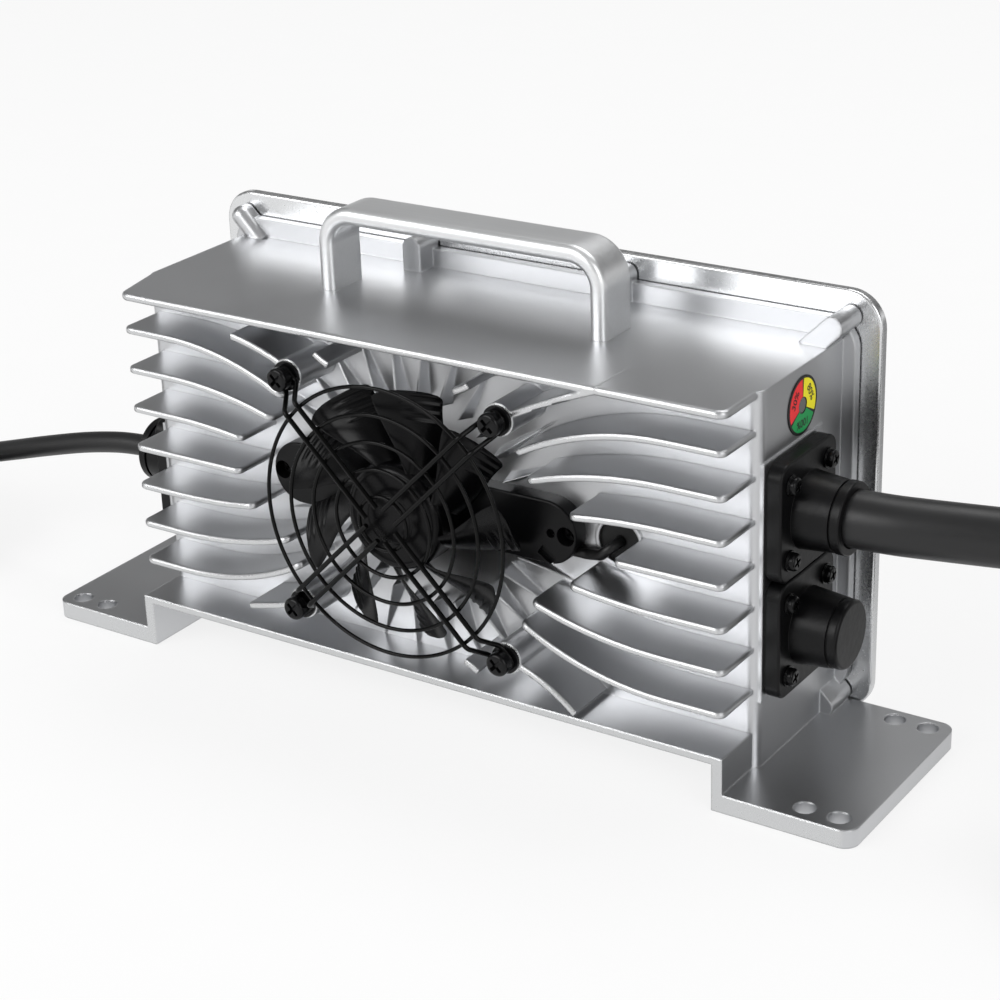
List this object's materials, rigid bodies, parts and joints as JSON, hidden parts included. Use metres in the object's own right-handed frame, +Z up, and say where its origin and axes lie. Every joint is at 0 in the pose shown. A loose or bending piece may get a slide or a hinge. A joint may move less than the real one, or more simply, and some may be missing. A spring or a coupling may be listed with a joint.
{
  "type": "lithium battery charger",
  "caption": "Fan-cooled lithium battery charger in a finned cast aluminium case with drilled mounting feet, carry handle, wire fan guard and put-away input and output cables.",
  "frame": {"origin": "middle of the underside of the feet, of the charger without its free cables", "axes": "+X along the length towards the output sockets, +Y from the fan side towards the cover, +Z up"},
  "size_m": [0.809, 0.1525, 0.163],
  "materials": {
    "cast_aluminium": "fine sand-blasted casting, clear anodised",
    "polished_aluminium": "polished, clear anodised",
    "brushed_aluminium": "brushed along the bar",
    "black_rubber": "satin",
    "cable_rubber": "satin cable sheath",
    "black_wire": "black painted wire",
    "black_steel": "black zinc",
    "bright_steel": "bright",
    "black_plastic": "fine satin",
    "gloss_black_plastic": "glossy",
    "dark_magnet": "matte",
    "copper_winding": "enamelled copper",
    "lead_sleeve": "satin sleeve",
    "label_print": "printed in red, yellow and green sectors",
    "clear_plastic": "clear light pipe",
    "green_board": "solder mask",
    "grey_pad": "soft pad",
    "black_epoxy": "moulded",
    "capacitor_sleeve": "sleeve",
    "ferrite": "sintered",
    "plated_contact": "plated",
    "fuse_ceramic": "ceramic with plated ends",
    "insulation_film": "thin sheet"
  },
  "bodies": {
    "case": {"heatsink_housing": "cast_aluminium", "rear_cover": "polished_aluminium", "handle": "brushed_aluminium", "cover_gasket": "black_rubber", "socket_gaskets": "black_rubber", "fan_lead_grommet": "black_rubber", "output_cable": "cable_rubber", "output_cable_hank": "cable_rubber", "mains_cable": "cable_rubber", "mains_cable_coil": "cable_rubber", "fan_guard": "black_wire", "guard_screws": "black_steel", "guard_spring_washers": "black_steel", "guard_flat_washers": "black_steel", "fan_bracket_screws": "black_steel", "socket_screws": "black_steel", "cover_screws": "bright_steel", "handle_screws": "bright_steel", "board_screws": "bright_steel", "clamp_screws": "bright_steel", "fan_bearings": "bright_steel", "transistor_clamp_bar": "bright_steel", "output_socket": "black_plastic", "output_gland_ring": "black_plastic", "spare_socket": "black_plastic", "spare_port_cap": "black_plastic", "mains_socket": "black_plastic", "mains_gland_ring": "black_plastic", "output_plug": "black_plastic", "mains_plug": "black_plastic", "output_cable_tie": "black_plastic", "mains_cable_tie": "black_plastic", "fan_bracket": "gloss_black_plastic", "fan_stator": "copper_winding", "transformer_winding": "copper_winding", "input_choke": "copper_winding", "output_choke": "copper_winding", "fan_lead": "lead_sleeve", "indicator_label": "label_print", "indicator_lens": "clear_plastic", "main_circuit_board": "green_board", "fan_circuit_board": "green_board", "indicator_board": "green_board", "control_board": "green_board", "thermal_pads": "grey_pad", "power_transistors": "black_epoxy", "output_relay": "black_epoxy", "bulk_capacitors": "capacitor_sleeve", "transformer_core": "ferrite", "output_plug_contacts": "plated_contact", "mains_plug_pins": "plated_contact", "mains_fuse": "fuse_ceramic", "insulation_sheet": "insulation_film"},
    "rotor": {"fan_impeller": "gloss_black_plastic", "fan_rotor_magnet": "dark_magnet", "fan_shaft": "bright_steel"}
  },
  "joints": [
    {"name": "fan_spin", "type": "hinge", "parent": "case", "child": "rotor", "pos_m": [-0.0025, -0.03913, 0.075], "axis": [0, 1, 0], "continuous": true}
  ]
}
